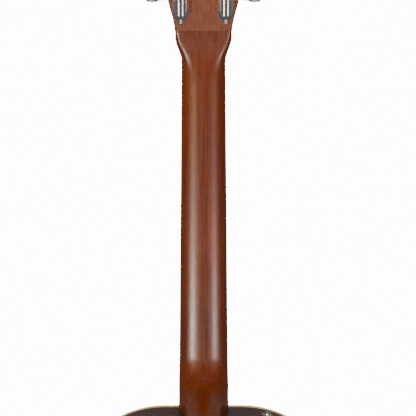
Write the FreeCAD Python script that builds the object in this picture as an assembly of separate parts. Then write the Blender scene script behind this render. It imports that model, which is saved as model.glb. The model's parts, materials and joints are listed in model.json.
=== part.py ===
import FreeCAD, Part
import math
import os

# Guitar-bodied bouzouki: eight steel strings in four courses, a long slim neck, a flat-backed body
# and eight covered worm tuners.  It stands upright as it hangs from a wall fork.
# Frame: origin on the neck's centre line at the nut, in the glue plane between neck and
# fingerboard.  +Z runs up to the headstock, +Y to the strings, +X to the bass side.
# All sizes are in millimetres.

V = FreeCAD.Vector
X_AXIS, Y_AXIS, Z_AXIS = V(1, 0, 0), V(0, 1, 0), V(0, 0, 1)

# ---------------------------------------------------------------- driving dimensions
scale_length = 650.0          # nut to saddle
body_fret = 14                # fret at the body joint
fret_count = 20

# body
body_length = 485.0
body_depth = 94.0             # from the soundboard's top face to the back's outer face
upper_bout_width = 284.0
waist_width = 240.0
lower_bout_width = 380.0
shoulder_radius = 102.0
lower_bout_radius = 115.0
lower_bout_centre_drop = 355.0    # from the body joint down to the lower bout's centres
rib_thickness = 2.4
soundboard_thickness = 2.8
back_thickness = 3.0
binding_width = 1.7
binding_height = 6.5
lining_width = 5.5
lining_height = 13.0
soundhole_radius = 49.0
soundhole_gap = 4.0           # fingerboard end to the soundhole's edge
rosette_inner_gap = 4.0
rosette_width = 8.0
rosette_depth = 1.1
neck_block_width = 66.0
neck_block_length = 48.0
tail_block_width = 64.0
tail_block_length = 22.0
brace_width = 8.0
brace_height = 14.0
back_brace_height = 15.0
bridge_patch_thickness = 2.5

# neck
nut_width = 44.0
joint_width = 51.5            # fingerboard width at the body joint
neck_depth_nut = 15.0         # wood only, behind the fingerboard
neck_depth_joint = 17.6
neck_roundness = 2.2          # exponent of the back's curve: 2 is a half ellipse
heel_crest_radius = 30.0
heel_turn = 82.0              # degrees that the heel's crest turns through
heel_mid_half_width = 17.3
heel_end_half_width = 15.2
heel_taper_start = 10.0       # depths behind the fingerboard between which the heel narrows
heel_taper_end = 42.0
heel_cap_thickness = 3.0
nut_length = 5.0
nut_height = 8.7
fingerboard_thickness = 6.0
fret_width = 2.4
fret_height = 1.1
fret_tang = 0.6
fret_tang_depth = 2.0
marker_radius = 3.0
side_marker_radius = 1.0
marker_depth = 1.2
truss_rod_radius = 3.0
truss_channel_clearance = 0.1
truss_rod_gap = 8.0           # end of the rod's channel to the body joint

# headstock
head_angle = 12.0
head_thickness = 13.4
head_length = 205.0
head_half_width_low = 34.4
head_half_width_high = 37.8
nape_half_width = 28.4
nape_start = -60.0            # where the round back starts to run out into the flat
nape_end = 14.0               # where its middle has become the headstock's back plane
nape_growth = 3.0
nape_crease = 7.0             # higher is a crisper edge along the tongue
splice_height = 24.9          # where the splice line crosses the back, above the nut
splice_angle = 32.0           # of the glued ramp to the neck's long axis
veneer_thickness = 1.6
truss_cover_thickness = 1.6

# tuners
tuner_pitch = 43.5
first_post = 49.0             # along the headstock's face from the nut
post_offset = 22.0            # post line to the centre line
post_radius = 3.0
post_rise = 15.0              # above the veneer
post_clearance = 0.05
bushing_radius = 5.0
bushing_flange_radius = 6.6
bushing_flange_height = 1.6
plate_thickness = 1.0
plate_half_length = 21.5
plate_width = 15.0
screw_spacing = 37.0
screw_head_radius = 2.2
screw_shank_radius = 1.2
screw_length = 9.0
housing_half_length = 12.0
housing_width = 15.0
housing_end_width = 10.4
housing_height = 9.6
housing_wall = 0.7
housing_arch = 1.07           # width of the arch's ellipse against the housing's own width
gear_teeth = 14
gear_pitch_radius = 4.4
gear_thickness = 2.8
tooth_height = 0.45
mesh_clearance = 0.15
worm_pitch_radius = 2.0
worm_shaft_radius = 1.55
worm_length = 7.0
worm_stub = 1.0               # plain shaft beyond each end of the thread
worm_depth = 4.6              # shaft's axis behind the plate
shaft_clearance = 0.06
button_start = 40.6           # inner end of a button, from the centre line
button_length = 15.5
button_width = 20.0
button_thickness = 8.4
button_collar_radius = 3.1
button_turns = (-4.0, -24.0, 30.0, 8.0, -7.0, 26.0, -34.0, 16.0)    # how each key was left

# bridge and strings
bridge_length = 168.0
bridge_width = 29.0
bridge_height = 8.6
saddle_length = 76.0
saddle_width = 3.0
saddle_depth = 4.0
saddle_rise = 3.1
pin_row_drop = 13.5           # saddle line to the row of bridge pins
pin_spacing = 8.6
pin_head_radius = 3.1
pin_shank_radius = 2.3
pin_length = 22.0
course_spacing_saddle = 17.2
course_spacing_nut = 10.4
pair_gap_saddle = 3.2
pair_gap_nut = 2.3
string_height_nut = 0.5       # above the frets
string_radii = (0.13, 0.19, 0.30, 0.42)    # from the treble course to the bass course

# strap fittings
strap_button_x = 60.5
strap_button_depth = 59.0     # from the soundboard down the side
strap_button_length = 13.0
strap_button_radius = 6.2
strap_waist_radius = 4.0
strap_screw_radius = 1.9
strap_screw_length = 24.0
strap_screw_head_radius = 3.4
end_pin_radius = 7.5
end_pin_length = 14.0
end_pin_shank_radius = 4.0



def fret_z(number):
    """Height of a fret: each fret shortens the string by the twelfth root of two."""
    return -scale_length * (1 - 2 ** (-number / 12))


body_top = fret_z(body_fret)
body_bottom = body_top - body_length
fingerboard_end = fret_z(fret_count) - 8.0
soundhole_z = fingerboard_end - soundhole_gap - soundhole_radius
shoulder_flat = upper_bout_width / 2 - shoulder_radius
lower_centre_x = lower_bout_width / 2 - lower_bout_radius
truss_rod_length = -body_top - truss_rod_gap


# ---------------------------------------------------------------- helpers
def box(x0, x1, y0, y1, z0, z1):
    return Part.makeBox(x1 - x0, y1 - y0, z1 - z0, V(x0, y0, z0))


def rod(radius, length, start, direction):
    return Part.makeCylinder(radius, length, start, direction)


def cone(radius_1, radius_2, length, start, direction):
    return Part.makeCone(radius_1, radius_2, length, start, direction)


def fused(shapes):
    """One solid from touching shapes, with its seams cleaned."""
    whole = shapes[0].fuse(list(shapes[1:])) if len(shapes) > 1 else shapes[0]
    return whole.removeSplitter()


def group(shapes):
    """Separate solids that share one node."""
    return Part.makeCompound([solid for shape in shapes for solid in shape.Solids])


def on_head(shape):
    """Tilt a piece drawn on an upright headstock back to the head's own plane."""
    turned = shape.copy()
    turned.rotate(V(0, 0, nut_length), X_AXIS, head_angle)
    return turned


def half_space(point, normal, size=900.0):
    """A large block that fills the side of a plane that the normal points to."""
    block = Part.makeBox(size, size, size, V(-size / 2, -size / 2, 0))
    block.Placement = FreeCAD.Placement(point, FreeCAD.Rotation(Z_AXIS, normal))
    return block


def solve(function, low, high):
    """Root of a rising function by halving."""
    for _ in range(60):
        middle = (low + high) / 2
        if function(middle) > 0:
            high = middle
        else:
            low = middle
    return (low + high) / 2


# ---------------------------------------------------------------- body outline
def waist_circle():
    """Radius and centre of the circle that joins both bouts and passes the waist's half width."""
    def drop_to_upper(radius):
        across = waist_width / 2 + radius - shoulder_flat
        return math.sqrt(max((radius + shoulder_radius) ** 2 - across ** 2, 0))

    def drop_to_lower(radius):
        across = waist_width / 2 + radius - lower_centre_x
        return math.sqrt(max((radius + lower_bout_radius) ** 2 - across ** 2, 0))

    between = lower_bout_centre_drop - shoulder_radius
    radius = solve(lambda r: drop_to_upper(r) + drop_to_lower(r) - between, 5.0, 900.0)
    return radius, waist_width / 2 + radius, -shoulder_radius - drop_to_upper(radius)


def arc_between(centre, radius, start_angle, end_angle):
    """Arc in the XZ plane; angles in degrees from +X towards +Z."""
    def at(angle):
        turn = math.radians(angle)
        return V(centre[0] + radius * math.cos(turn), 0, centre[1] + radius * math.sin(turn))
    return Part.Arc(at(start_angle), at((start_angle + end_angle) / 2), at(end_angle)).toShape()


def body_outline(inset=0.0):
    """Closed outline of tangent arcs, moved inwards by the inset."""
    waist_radius, waist_x, waist_z = waist_circle()
    upper = (shoulder_flat, body_top - shoulder_radius)
    waist = (waist_x, body_top + waist_z)
    lower = (lower_centre_x, body_top - lower_bout_centre_drop)
    below = body_length - lower_bout_centre_drop
    reach = lower_centre_x ** 2 + below ** 2 - lower_bout_radius ** 2
    tail_radius = reach / (2 * (below - lower_bout_radius))
    tail = (0.0, body_bottom + tail_radius)
    upper_end = math.degrees(math.atan2(waist[1] - upper[1], waist[0] - upper[0]))
    lower_start = math.degrees(math.atan2(waist[1] - lower[1], waist[0] - lower[0]))
    lower_end = math.degrees(math.atan2(lower[1] - tail[1], lower[0] - tail[0]))
    half = [
        Part.makeLine(V(0, 0, body_top - inset), V(shoulder_flat, 0, body_top - inset)),
        arc_between(upper, shoulder_radius - inset, 90, upper_end),
        arc_between(waist, waist_radius + inset, upper_end + 180, 180 + lower_start),
        arc_between(lower, lower_bout_radius - inset, lower_start, lower_end),
        arc_between(tail, tail_radius - inset, lower_end, -90),
    ]
    other = [edge.mirror(V(0, 0, 0), X_AXIS) for edge in half]
    return Part.Wire(Part.__sortEdges__(half + other))


def body_slab(inset, y_low, y_high):
    """Solid of the body's outline between two planes parallel to the soundboard."""
    face = Part.Face(body_outline(inset))
    face.translate(V(0, y_low, 0))
    return face.extrude(V(0, y_high - y_low, 0))


back_outer = -body_depth
back_inner = back_outer + back_thickness
board_inner = -soundboard_thickness


def soundhole_tool():
    return rod(soundhole_radius, 40, V(0, -20, soundhole_z), Y_AXIS)


def rosette_ring():
    inner = soundhole_radius + rosette_inner_gap
    outer = inner + rosette_width
    disc = rod(outer, rosette_depth, V(0, -rosette_depth, soundhole_z), Y_AXIS)
    return disc.cut(rod(inner, rosette_depth + 2, V(0, -rosette_depth - 1, soundhole_z), Y_AXIS))


def pin_places():
    """Centre of each bridge pin along the row, treble side first."""
    return [(index - 3.5) * pin_spacing for index in range(8)]


pin_row_z = -scale_length - pin_row_drop


def pin_holes(radius):
    return [rod(radius, 60, V(x, -40, pin_row_z), Y_AXIS) for x in pin_places()]


def make_soundboard():
    board = body_slab(binding_width, board_inner, 0)
    board = board.cut(soundhole_tool()).cut(rosette_ring())
    return board.cut(Part.makeCompound(pin_holes(pin_shank_radius + post_clearance)))


def make_back_plate():
    return body_slab(binding_width, back_outer, back_inner)


def make_binding(y_outer, direction):
    """Strip let into the corner between a plate's edge and the side."""
    low, high = sorted((y_outer, y_outer + direction * binding_height))
    return body_slab(0, low, high).cut(body_slab(binding_width, low - 1, high + 1))


def make_rib(side):
    """One bent side, rebated for both bindings, with the holes for its strap fittings."""
    rib = body_slab(0, back_inner, board_inner).cut(body_slab(rib_thickness, back_inner - 1, board_inner + 1))
    rib = rib.cut(make_binding(0, -1)).cut(make_binding(back_outer, 1))
    rib = rib.common(box(0, 400, -400, 400, -1200, 0) if side > 0 else box(-400, 0, -400, 400, -1200, 0))
    if side > 0:
        rib = rib.cut(strap_hole())
    return rib.cut(end_pin_hole())


def make_lining(y_plate, direction):
    """Strip glued round the inside corner so that a plate has a wide glue line."""
    low, high = sorted((y_plate, y_plate + direction * lining_height))
    ring = body_slab(rib_thickness, low, high)
    ring = ring.cut(body_slab(rib_thickness + lining_width, low - 1, high + 1))
    return ring.cut(neck_block_space()).cut(tail_block_space()).cut(strap_hole())


def neck_block_space():
    return box(-neck_block_width / 2, neck_block_width / 2, back_inner, board_inner,
               body_top - neck_block_length, body_top)


def tail_block_space():
    return box(-tail_block_width / 2, tail_block_width / 2, back_inner, board_inner,
               body_bottom, body_bottom + tail_block_length)


def make_neck_block():
    block = neck_block_space().common(body_slab(rib_thickness, back_inner, board_inner))
    return block.cut(strap_hole())


def make_tail_block():
    block = tail_block_space().common(body_slab(rib_thickness, back_inner, board_inner))
    return block.cut(end_pin_hole())


def bar(start, end, width, y_low, y_high):
    """Straight brace between two points of the XZ plane."""
    run = V(end[0] - start[0], 0, end[1] - start[1])
    across = V(run.z, 0, -run.x).normalize() * (width / 2)
    first, last = V(start[0], y_low, start[1]), V(end[0], y_low, end[1])
    corners = [first - across, first + across, last + across, last - across, first - across]
    return Part.Face(Part.makePolygon(corners)).extrude(V(0, y_high - y_low, 0))


def inside_body(y_low, y_high):
    return body_slab(rib_thickness + lining_width + 0.4, y_low, y_high)


def make_soundboard_braces():
    """Crossed main braces, two tone bars, finger braces and the bar above the soundhole."""
    low, high = board_inner - brace_height, board_inner
    cross_z = soundhole_z - soundhole_radius - 22
    reach = 210
    lines = [((-reach, cross_z + reach), (reach, cross_z - reach)),
             ((reach, cross_z + reach), (-reach, cross_z - reach)),
             ((-reach, soundhole_z + soundhole_radius + 16), (reach, soundhole_z + soundhole_radius + 16)),
             ((-64, cross_z - 105), (60, cross_z - 186))]
    bars = [bar(a, b, brace_width, low, high) for a, b in lines]
    braces = fused(bars[:2] + [bars[3]]).common(inside_body(low, high))
    upper = bars[2].common(inside_body(low, high)).cut(bars[0]).cut(bars[1])
    keep_out = soundhole_tool()
    keep_out.scale(1.06, V(0, 0, soundhole_z))
    braces = braces.cut(keep_out).cut(patch_space())
    spare = neck_block_space()
    return group([braces.cut(spare), upper.cut(spare)])


def patch_space():
    half_length, half_width = bridge_length / 2 + 4, bridge_width / 2 + 5
    centre = (pin_row_z - scale_length) / 2
    return box(-half_length, half_length, board_inner - bridge_patch_thickness, board_inner,
               centre - half_width, centre + half_width)


def make_bridge_patch():
    return patch_space().cut(Part.makeCompound(pin_holes(pin_shank_radius + post_clearance)))


def make_back_braces():
    """Four bars across the back, glued to its inner face."""
    drops = (90, 190, 290, 395)
    bars = [bar((-300, body_top - drop), (300, body_top - drop), brace_width,
                back_inner, back_inner + back_brace_height) for drop in drops]
    return group([b.common(inside_body(back_inner, back_inner + back_brace_height)) for b in bars])


# ---------------------------------------------------------------- neck and headstock
def smooth(value, start, end):
    """Eased step from 0 at start to 1 at end."""
    share = min(max((value - start) / (end - start), 0.0), 1.0)
    return share * share * (3 - 2 * share)


def fingerboard_half_width(z):
    return nut_width / 2 + (joint_width - nut_width) / 2 * z / body_top


head_turn = math.radians(head_angle)


def head_back_y(z):
    """Where the headstock's back plane lies at a height."""
    along = (z - nut_length + head_thickness * math.sin(head_turn)) / math.cos(head_turn)
    return -head_thickness * math.cos(head_turn) - along * math.sin(head_turn)


def neck_half_width(z):
    """Half width of the neck's back: parallel to the board, then flared at the nape."""
    straight = fingerboard_half_width(min(z, 0))
    return straight + (nape_half_width - straight) * smooth(z, -5.0, splice_height - 5.0)


def nape_flatness(z):
    """How far the round back is planed flat: 0 on the shaft, and over 1 where a V-shaped tongue shows."""
    share = max((z - nape_start) / (splice_height - nape_start), 0)
    return nape_growth * share ** 2


def neck_crest(z):
    """The deepest line of the neck's back, which runs out into the headstock's back."""
    share = min(max(z / (body_top + 60), 0), 1)
    shaft = neck_depth_nut + (neck_depth_joint - neck_depth_nut) * share
    head = -head_back_y(z)
    blend = smooth(z, nape_end - 38.0, nape_end)
    return -(shaft * (1 - blend) + head * blend)


heel_start = body_top + heel_crest_radius + 27.5
heel_centre_y = neck_crest(heel_start) - heel_crest_radius
heel_bottom = back_outer + heel_cap_thickness


def heel_half_width(y):
    """Half width of the heel at a depth behind the fingerboard."""
    top = joint_width / 2
    if y > 0:
        return top
    waist_share = smooth(-y, heel_taper_start, heel_taper_end)
    upper = top + (heel_mid_half_width - top) * waist_share
    lower_share = min(max((-y - heel_taper_end) / (body_depth - heel_taper_end), 0), 1)
    return upper + (heel_end_half_width - heel_mid_half_width) * lower_share


def neck_section(origin, direction, rounding, flatness, reach, heel_share, width):
    """Points of a section of the neck blank: rounded at the origin, its sides run out along direction."""
    points = []
    steps = 9
    for index in range(steps + 1):
        depth = math.cos(math.radians(90.0 * index / steps))
        planed = (1 + flatness ** nape_crease) / (1 + (flatness * depth) ** nape_crease)
        distance = rounding * (1 - depth * planed ** (1 / nape_crease))
        points.append((distance, (1 - depth ** neck_roundness) ** (1 / neck_roundness)))
    for index in range(1, 6):
        points.append((rounding + (reach - rounding) * index / 5, 1.0))
    side = []
    for distance, share in points:
        place = origin + direction * distance
        half = width * (1 - heel_share) + heel_half_width(place.y) * heel_share
        side.append(V(half * share, place.y, place.z))
    mirrored = [V(-p.x, p.y, p.z) for p in side[:0:-1]]
    return mirrored + side


def section_wires(sections):
    """Closed wires through the sections' points, with one shared spacing of the curves' knots."""
    spans = len(sections[0]) - 1
    spacing = [0.0] * spans
    for points in sections:
        lengths = [(points[i + 1] - points[i]).Length for i in range(spans)]
        for i in range(spans):
            spacing[i] += lengths[i] / sum(lengths)
    knots = [0.0]
    for step in spacing:
        knots.append(knots[-1] + step / len(sections))
    wires = []
    for points in sections:
        curve = Part.BSplineCurve()
        curve.interpolate(Points=points, Parameters=knots)
        wires.append(Part.Wire([curve.toShape(), Part.makeLine(points[-1], points[0])]))
    return wires


def neck_blank():
    """Shaft, nape and heel lofted in one piece, larger than the finished neck at the front."""
    sections = []
    top_reach = 6.0
    heights = [splice_height + 14, splice_height + 6, splice_height, 18, 12, 6, 0, -6, -12, -18, -26, -36, -48]
    heights += [-72 - 40 * index for index in range(5)] + [heel_start + 22, heel_start + 8]
    for z in heights:
        crest = neck_crest(z)
        sections.append(neck_section(V(0, crest, z), Y_AXIS, -crest, nape_flatness(z),
                                     -crest + top_reach, 0, neck_half_width(z)))
    stations = 9
    for index in range(stations + 1):
        turn = math.radians(heel_turn) * index / stations
        direction = V(0, math.cos(turn), -math.sin(turn))
        origin = V(0, heel_centre_y, heel_start) + direction * heel_crest_radius
        share = smooth(index / stations, 0.0, 0.7)
        reach = -neck_crest(heel_start) + top_reach + 70 * smooth(index / stations, 0.0, 0.5)
        rounding = neck_depth_joint + 2.0 * share
        sections.append(neck_section(origin, direction, rounding, 0, reach, share,
                                     neck_half_width(origin.z)))
    down = V(0, -math.sin(turn), -math.cos(turn))
    run = (origin.y - heel_bottom) / math.sin(turn) + 6.0
    steps_down = 10
    for index in range(1, steps_down + 1):
        place = origin + down * (run * index / steps_down)
        sections.append(neck_section(place, direction, rounding, 0, reach, 1, 0))
    blank = Part.makeLoft(section_wires(sections), True, False)
    front = half_space(V(0, 0, 0), Y_AXIS)
    joint = half_space(V(0, 0, body_top), Z_AXIS * -1)
    below = half_space(V(0, heel_bottom, 0), Y_AXIS * -1)
    return blank.cut(front).cut(joint).cut(below)


def head_outline():
    """Closed outline of the headstock above the nape, measured along its face."""
    start = splice_height - 12.0
    side = Part.BSplineCurve()
    side.interpolate([V(nape_half_width, 0, start), V(nape_half_width + 0.3, 0, splice_height + 2),
                      V(head_half_width_low, 0, first_post + 2),
                      V((head_half_width_low + head_half_width_high) / 2, 0, head_length * 0.56),
                      V(head_half_width_high, 0, head_length - 21)])
    corner = Part.Arc(V(head_half_width_high, 0, head_length - 21),
                      V(head_half_width_high - 2.6, 0, head_length - 11.5),
                      V(head_half_width_high - 11, 0, head_length - 6))
    crown = Part.Arc(V(head_half_width_high - 11, 0, head_length - 6), V(0, 0, head_length),
                     V(11 - head_half_width_high, 0, head_length - 6))
    left = [edge.toShape().mirror(V(0, 0, 0), X_AXIS) for edge in (side, corner)]
    base = Part.makeLine(V(-nape_half_width, 0, start), V(nape_half_width, 0, start))
    edges = [base, side.toShape(), corner.toShape(), crown.toShape()] + left
    return Part.Wire(Part.__sortEdges__(edges))


def head_slab(y_low, y_high):
    face = Part.Face(head_outline())
    face.translate(V(0, y_low, nut_length))
    return face.extrude(V(0, y_high - y_low, 0))


def post_places():
    """Side and height of each tuner's post in the upright headstock, bass side first."""
    return [(side, first_post + row * tuner_pitch) for side in (1, -1) for row in range(4)]


def head_bores():
    tools = [rod(bushing_radius, head_thickness + 20, V(side * post_offset, -head_thickness - 10, nut_length + z),
                 Y_AXIS) for side, z in post_places()]
    return Part.makeCompound(tools)


def truss_slot():
    """Channel under the fingerboard for the truss rod, open at the nut for its adjusting nut."""
    half = truss_rod_radius + truss_channel_clearance
    depth = 2 * truss_rod_radius + 1.0
    channel = box(-half, half, -depth, 1, -truss_rod_length, nut_length + 1)
    return channel


def truss_pocket():
    """Pocket in the headstock's face that gives a key room to reach the adjusting nut."""
    pocket = box(-6.0, 6.0, -8.0, 6.0, nut_length + 0.4, nut_length + 24.0)
    return on_head(pocket)


def neck_wood():
    slab = on_head(head_slab(-head_thickness, 0))
    seat = V(0, 0, nut_length)
    face_normal = V(0, math.cos(head_turn), math.sin(head_turn))
    above_nut = half_space(seat, face_normal).cut(half_space(seat, Z_AXIS * -1))
    shaft = neck_blank().cut(above_nut)
    past_splice = half_space(V(0, head_back_y(splice_height), splice_height), Z_AXIS)
    shaft = shaft.cut(past_splice)
    head = slab.common(half_space(V(0, 0, splice_height), Z_AXIS))
    wood = shaft.fuse(head)
    return wood.cut(truss_slot()).cut(truss_pocket())


def splice_ramp():
    """Everything in front of the glued ramp that joins headstock and neck."""
    turn = math.radians(splice_angle)
    normal = V(0, math.cos(turn), math.sin(turn))
    return half_space(V(0, head_back_y(splice_height), splice_height), normal)


def make_neck(wood):
    neck = wood.cut(splice_ramp()).cut(past_head_plane())
    return max(neck.Solids, key=lambda solid: solid.Volume)


def past_head_plane():
    return half_space(V(0, 0, splice_height), Z_AXIS)


def make_headstock(wood):
    head = wood.common(splice_ramp().fuse(past_head_plane()))
    head = head.cut(on_head(head_bores()))
    return max(head.Solids, key=lambda solid: solid.Volume)


def make_head_veneer():
    veneer = head_slab(0, veneer_thickness)
    lower = Part.Face(Part.makePolygon([V(-nut_width / 2 - 1, 0, 0), V(nut_width / 2 + 1, 0, 0),
                                        V(nape_half_width, 0, splice_height - 12),
                                        V(-nape_half_width, 0, splice_height - 12),
                                        V(-nut_width / 2 - 1, 0, 0)]))
    lower.translate(V(0, 0, nut_length))
    veneer = veneer.fuse(lower.extrude(V(0, veneer_thickness, 0))).removeSplitter()
    veneer = veneer.cut(head_bores()).cut(box(-6, 6, -1, 5, nut_length - 1, nut_length + 24))
    veneer = on_head(veneer)
    return veneer.cut(half_space(V(0, 0, nut_length), Z_AXIS * -1))


def make_heel_cap(neck):
    """Thin ebony plate that finishes the heel flush with the back."""
    base = [face for face in neck.Faces if abs(face.CenterOfMass.y - heel_bottom) < 0.05]
    face = max(base, key=lambda f: f.Area)
    return face.extrude(V(0, -heel_cap_thickness, 0))


# ---------------------------------------------------------------- fingerboard
def make_fingerboard():
    """Tapered board over the neck, carried on over the soundboard to the soundhole."""
    top, low = fingerboard_half_width(0), fingerboard_half_width(fingerboard_end)
    outline = Part.makePolygon([V(-top, 0, 0), V(top, 0, 0), V(low, 0, fingerboard_end),
                                V(-low, 0, fingerboard_end), V(-top, 0, 0)])
    board = Part.Face(outline).extrude(V(0, fingerboard_thickness, 0))
    slots = []
    for number in range(1, fret_count + 1):
        z = fret_z(number)
        slots.append(box(-60, 60, fingerboard_thickness - fret_tang_depth, fingerboard_thickness + 1,
                         z - fret_tang / 2, z + fret_tang / 2))
    return board.cut(Part.makeCompound(slots + marker_tools()))


def marker_places():
    """Middle of each marked fret space, and the offsets across the board of its dots."""
    places = []
    for number in (3, 5, 7, 10, 12, 15, 17):
        middle = (fret_z(number - 1) + fret_z(number)) / 2
        offsets = (-10.0, 10.0) if number == 12 else (0.0,)
        places.append((middle, offsets))
    return places


def marker_tools():
    tools = []
    for z, offsets in marker_places():
        for x in offsets:
            tools.append(rod(marker_radius, marker_depth, V(x, fingerboard_thickness - marker_depth, z), Y_AXIS))
        edge = fingerboard_half_width(z)
        for shift in ((-3.5, 3.5) if len(offsets) > 1 else (0.0,)):
            tools.append(rod(side_marker_radius, marker_depth,
                             V(edge - marker_depth, fingerboard_thickness * 0.55, z + shift), X_AXIS))
    return tools


def make_fret_markers():
    """Dots in the board's face, and small dots in its bass edge for the player."""
    return group(marker_tools())


def make_frets():
    """Half-round crowns on tangs that sit in the sawn slots."""
    frets = []
    for number in range(1, fret_count + 1):
        z = fret_z(number)
        half = fingerboard_half_width(z) - 0.2
        ring = fret_width / 2
        crown_radius = (ring ** 2 + fret_height ** 2) / (2 * fret_height)
        crown = rod(crown_radius, 2 * half, V(-half, fingerboard_thickness + fret_height - crown_radius, z), X_AXIS)
        crown = crown.common(box(-half, half, fingerboard_thickness, fingerboard_thickness + 5, z - 5, z + 5))
        tang = box(-half, half, fingerboard_thickness - fret_tang_depth, fingerboard_thickness,
                   z - fret_tang / 2, z + fret_tang / 2)
        frets.append(fused([crown, tang]))
    return group(frets)


# ---------------------------------------------------------------- strings, nut and bridge
string_nut_y = fingerboard_thickness + fret_height + string_height_nut
saddle_top = bridge_height + saddle_rise
pin_head_gap = 0.35           # string over the bridge beside its pin
string_seat_gap = 0.04


def string_lines():
    """Radius, x at the saddle and x at the nut of each string, treble side first."""
    lines = []
    for course in range(4):
        for member in (-0.5, 0.5):
            at_saddle = (course - 1.5) * course_spacing_saddle + member * pair_gap_saddle
            at_nut = (course - 1.5) * course_spacing_nut + member * pair_gap_nut
            lines.append((string_radii[course], at_saddle, at_nut))
    return lines


def string_posts():
    """Post that takes each string, treble side first: outer strings go to the lowest posts."""
    treble = [(-1, row) for row in (0, 1, 2, 3)]
    bass = [(1, row) for row in (3, 2, 1, 0)]
    return treble + bass


def string_route(index):
    """Corner points of a string's centre line, from its bridge pin to its post."""
    radius, at_saddle, at_nut = string_lines()[index]
    side, row = string_posts()[index]
    pin_x = pin_places()[index]
    winding_radius = post_radius + 2 * max(string_radii) + 0.3
    flat = V(side * (post_offset - winding_radius - radius), veneer_thickness + 5.0,
             nut_length + first_post + row * tuner_pitch)
    line = Part.makeLine(flat, flat + Z_AXIS)
    post_point = on_head(line).Vertexes[0].Point
    return [V(pin_x, bridge_height + pin_head_gap + radius, pin_row_z + pin_head_radius + 0.35),
            V(at_saddle, saddle_top + radius + string_seat_gap, -scale_length),
            V(at_nut, string_nut_y + radius, 0),
            V(at_nut, string_nut_y + radius, nut_length),
            post_point]





def make_string(index):
    radius = string_lines()[index][0]
    route = string_route(index)
    pieces = []
    for start, end in zip(route, route[1:]):
        pieces.append(rod(radius, (end - start).Length, start, end - start))
    for corner in route[1:-1]:
        pieces.append(Part.makeSphere(radius, corner))
    return fused(pieces)


def make_strings(first, last):
    return group([make_string(index) for index in range(first, last)])


def string_slots():
    """Room for the strings over the nut."""
    slots = []
    for index in range(8):
        radius, _, at_nut = string_lines()[index]
        start = V(at_nut, string_nut_y + radius, -1)
        slots.append(rod(radius + 0.03, nut_length + 2, start, Z_AXIS))
        slots.append(box(at_nut - radius - 0.03, at_nut + radius + 0.03, start.y, start.y + 6,
                         -1, nut_length + 1))
    return Part.makeCompound(slots)


def make_nut():
    half = nut_width / 2
    blank = box(-half, half, 0, nut_height, 0, nut_length)
    top = [edge for edge in blank.Edges
           if abs(edge.CenterOfMass.y - nut_height) < 1e-6 and abs(edge.CenterOfMass.z - nut_length) < 1e-6]
    blank = blank.makeFillet(1.6, top)
    return blank.cut(string_slots())


def bridge_blank():
    centre = (pin_row_z - scale_length) / 2
    half = bridge_width / 2
    low, high = centre - half, centre + half
    blank = box(-bridge_length / 2, bridge_length / 2, 0, bridge_height, low, high)
    for side in (-1, 1):
        wing = V(side * bridge_length / 2, 3.4, centre)
        slope = V(side * (bridge_height - 3.4), 34.0, 0)
        blank = blank.cut(half_space(wing, slope))
    corners = [edge for edge in blank.Edges
               if abs(abs(edge.CenterOfMass.x) - bridge_length / 2) < 1e-6
               and abs(edge.Vertexes[0].Z - edge.Vertexes[-1].Z) < 1e-6 and edge.Length < 4]
    return blank.makeFillet(5.0, corners) if corners else blank


def saddle_box(y_low, y_high):
    half = saddle_length / 2
    return box(-half, half, y_low, y_high, -scale_length - saddle_width / 2, -scale_length + saddle_width / 2)


def make_bridge():
    blank = bridge_blank().cut(saddle_box(bridge_height - saddle_depth, bridge_height + 9))
    return blank.cut(Part.makeCompound(pin_holes(pin_shank_radius + post_clearance)))


def make_saddle():
    saddle = saddle_box(bridge_height - saddle_depth, saddle_top)
    crown = [edge for edge in saddle.Edges
             if abs(edge.CenterOfMass.y - saddle_top) < 1e-6 and edge.Length > saddle_width + 1]
    return saddle.makeFillet(saddle_width * 0.45, crown)


def make_bridge_pins():
    """Tapered pins that clamp the strings' ends in the bridge."""
    pins = []
    for x in pin_places():
        shank = cone(pin_shank_radius * 0.8, pin_shank_radius, pin_length,
                     V(x, bridge_height - pin_length, pin_row_z), Y_AXIS)
        collar = rod(pin_head_radius, 1.4, V(x, bridge_height, pin_row_z), Y_AXIS)
        dome = Part.makeSphere(pin_head_radius, V(x, bridge_height + 1.4, pin_row_z))
        dome = dome.common(box(x - 9, x + 9, bridge_height + 1.4, bridge_height + 9, pin_row_z - 9, pin_row_z + 9))
        pins.append(fused([shank, collar, dome]))
    return group(pins)


# ---------------------------------------------------------------- truss rod
def make_truss_rod():
    """Steel rod under the fingerboard with a hexagonal adjusting nut at its head end."""
    centre_y = -truss_rod_radius - 0.6
    bar_ = rod(truss_rod_radius, truss_rod_length - 6, V(0, centre_y, -truss_rod_length + 1), Z_AXIS)
    key = rod(1.6, 9, V(0, centre_y, 0), Z_AXIS)
    return bar_.cut(key)


def truss_cover_outline():
    """Small bell-shaped plate over the adjusting pocket."""
    low, high = nut_length + 0.8, nut_length + 33.0
    points = [V(-9.0, 0, low), V(9.0, 0, low), V(8.2, 0, low + 12), V(4.6, 0, high - 4)]
    right = Part.BSplineCurve()
    right.interpolate([points[1], points[2], points[3]])
    top = Part.Arc(points[3], V(0, 0, high), V(-points[3].x, 0, points[3].z))
    edges = [Part.makeLine(points[0], points[1]), right.toShape(), top.toShape(),
             right.toShape().mirror(V(0, 0, 0), X_AXIS)]
    return Part.Wire(Part.__sortEdges__(edges))


def truss_cover_screws():
    return [(0.0, nut_length + 28.6)]


def make_truss_rod_cover():
    face = Part.Face(truss_cover_outline())
    face.translate(V(0, veneer_thickness, 0))
    plate = face.extrude(V(0, truss_cover_thickness, 0))
    holes = [rod(screw_shank_radius, 20, V(x, -5, z), Y_AXIS) for x, z in truss_cover_screws()]
    return on_head(plate.cut(Part.makeCompound(holes)))


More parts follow.
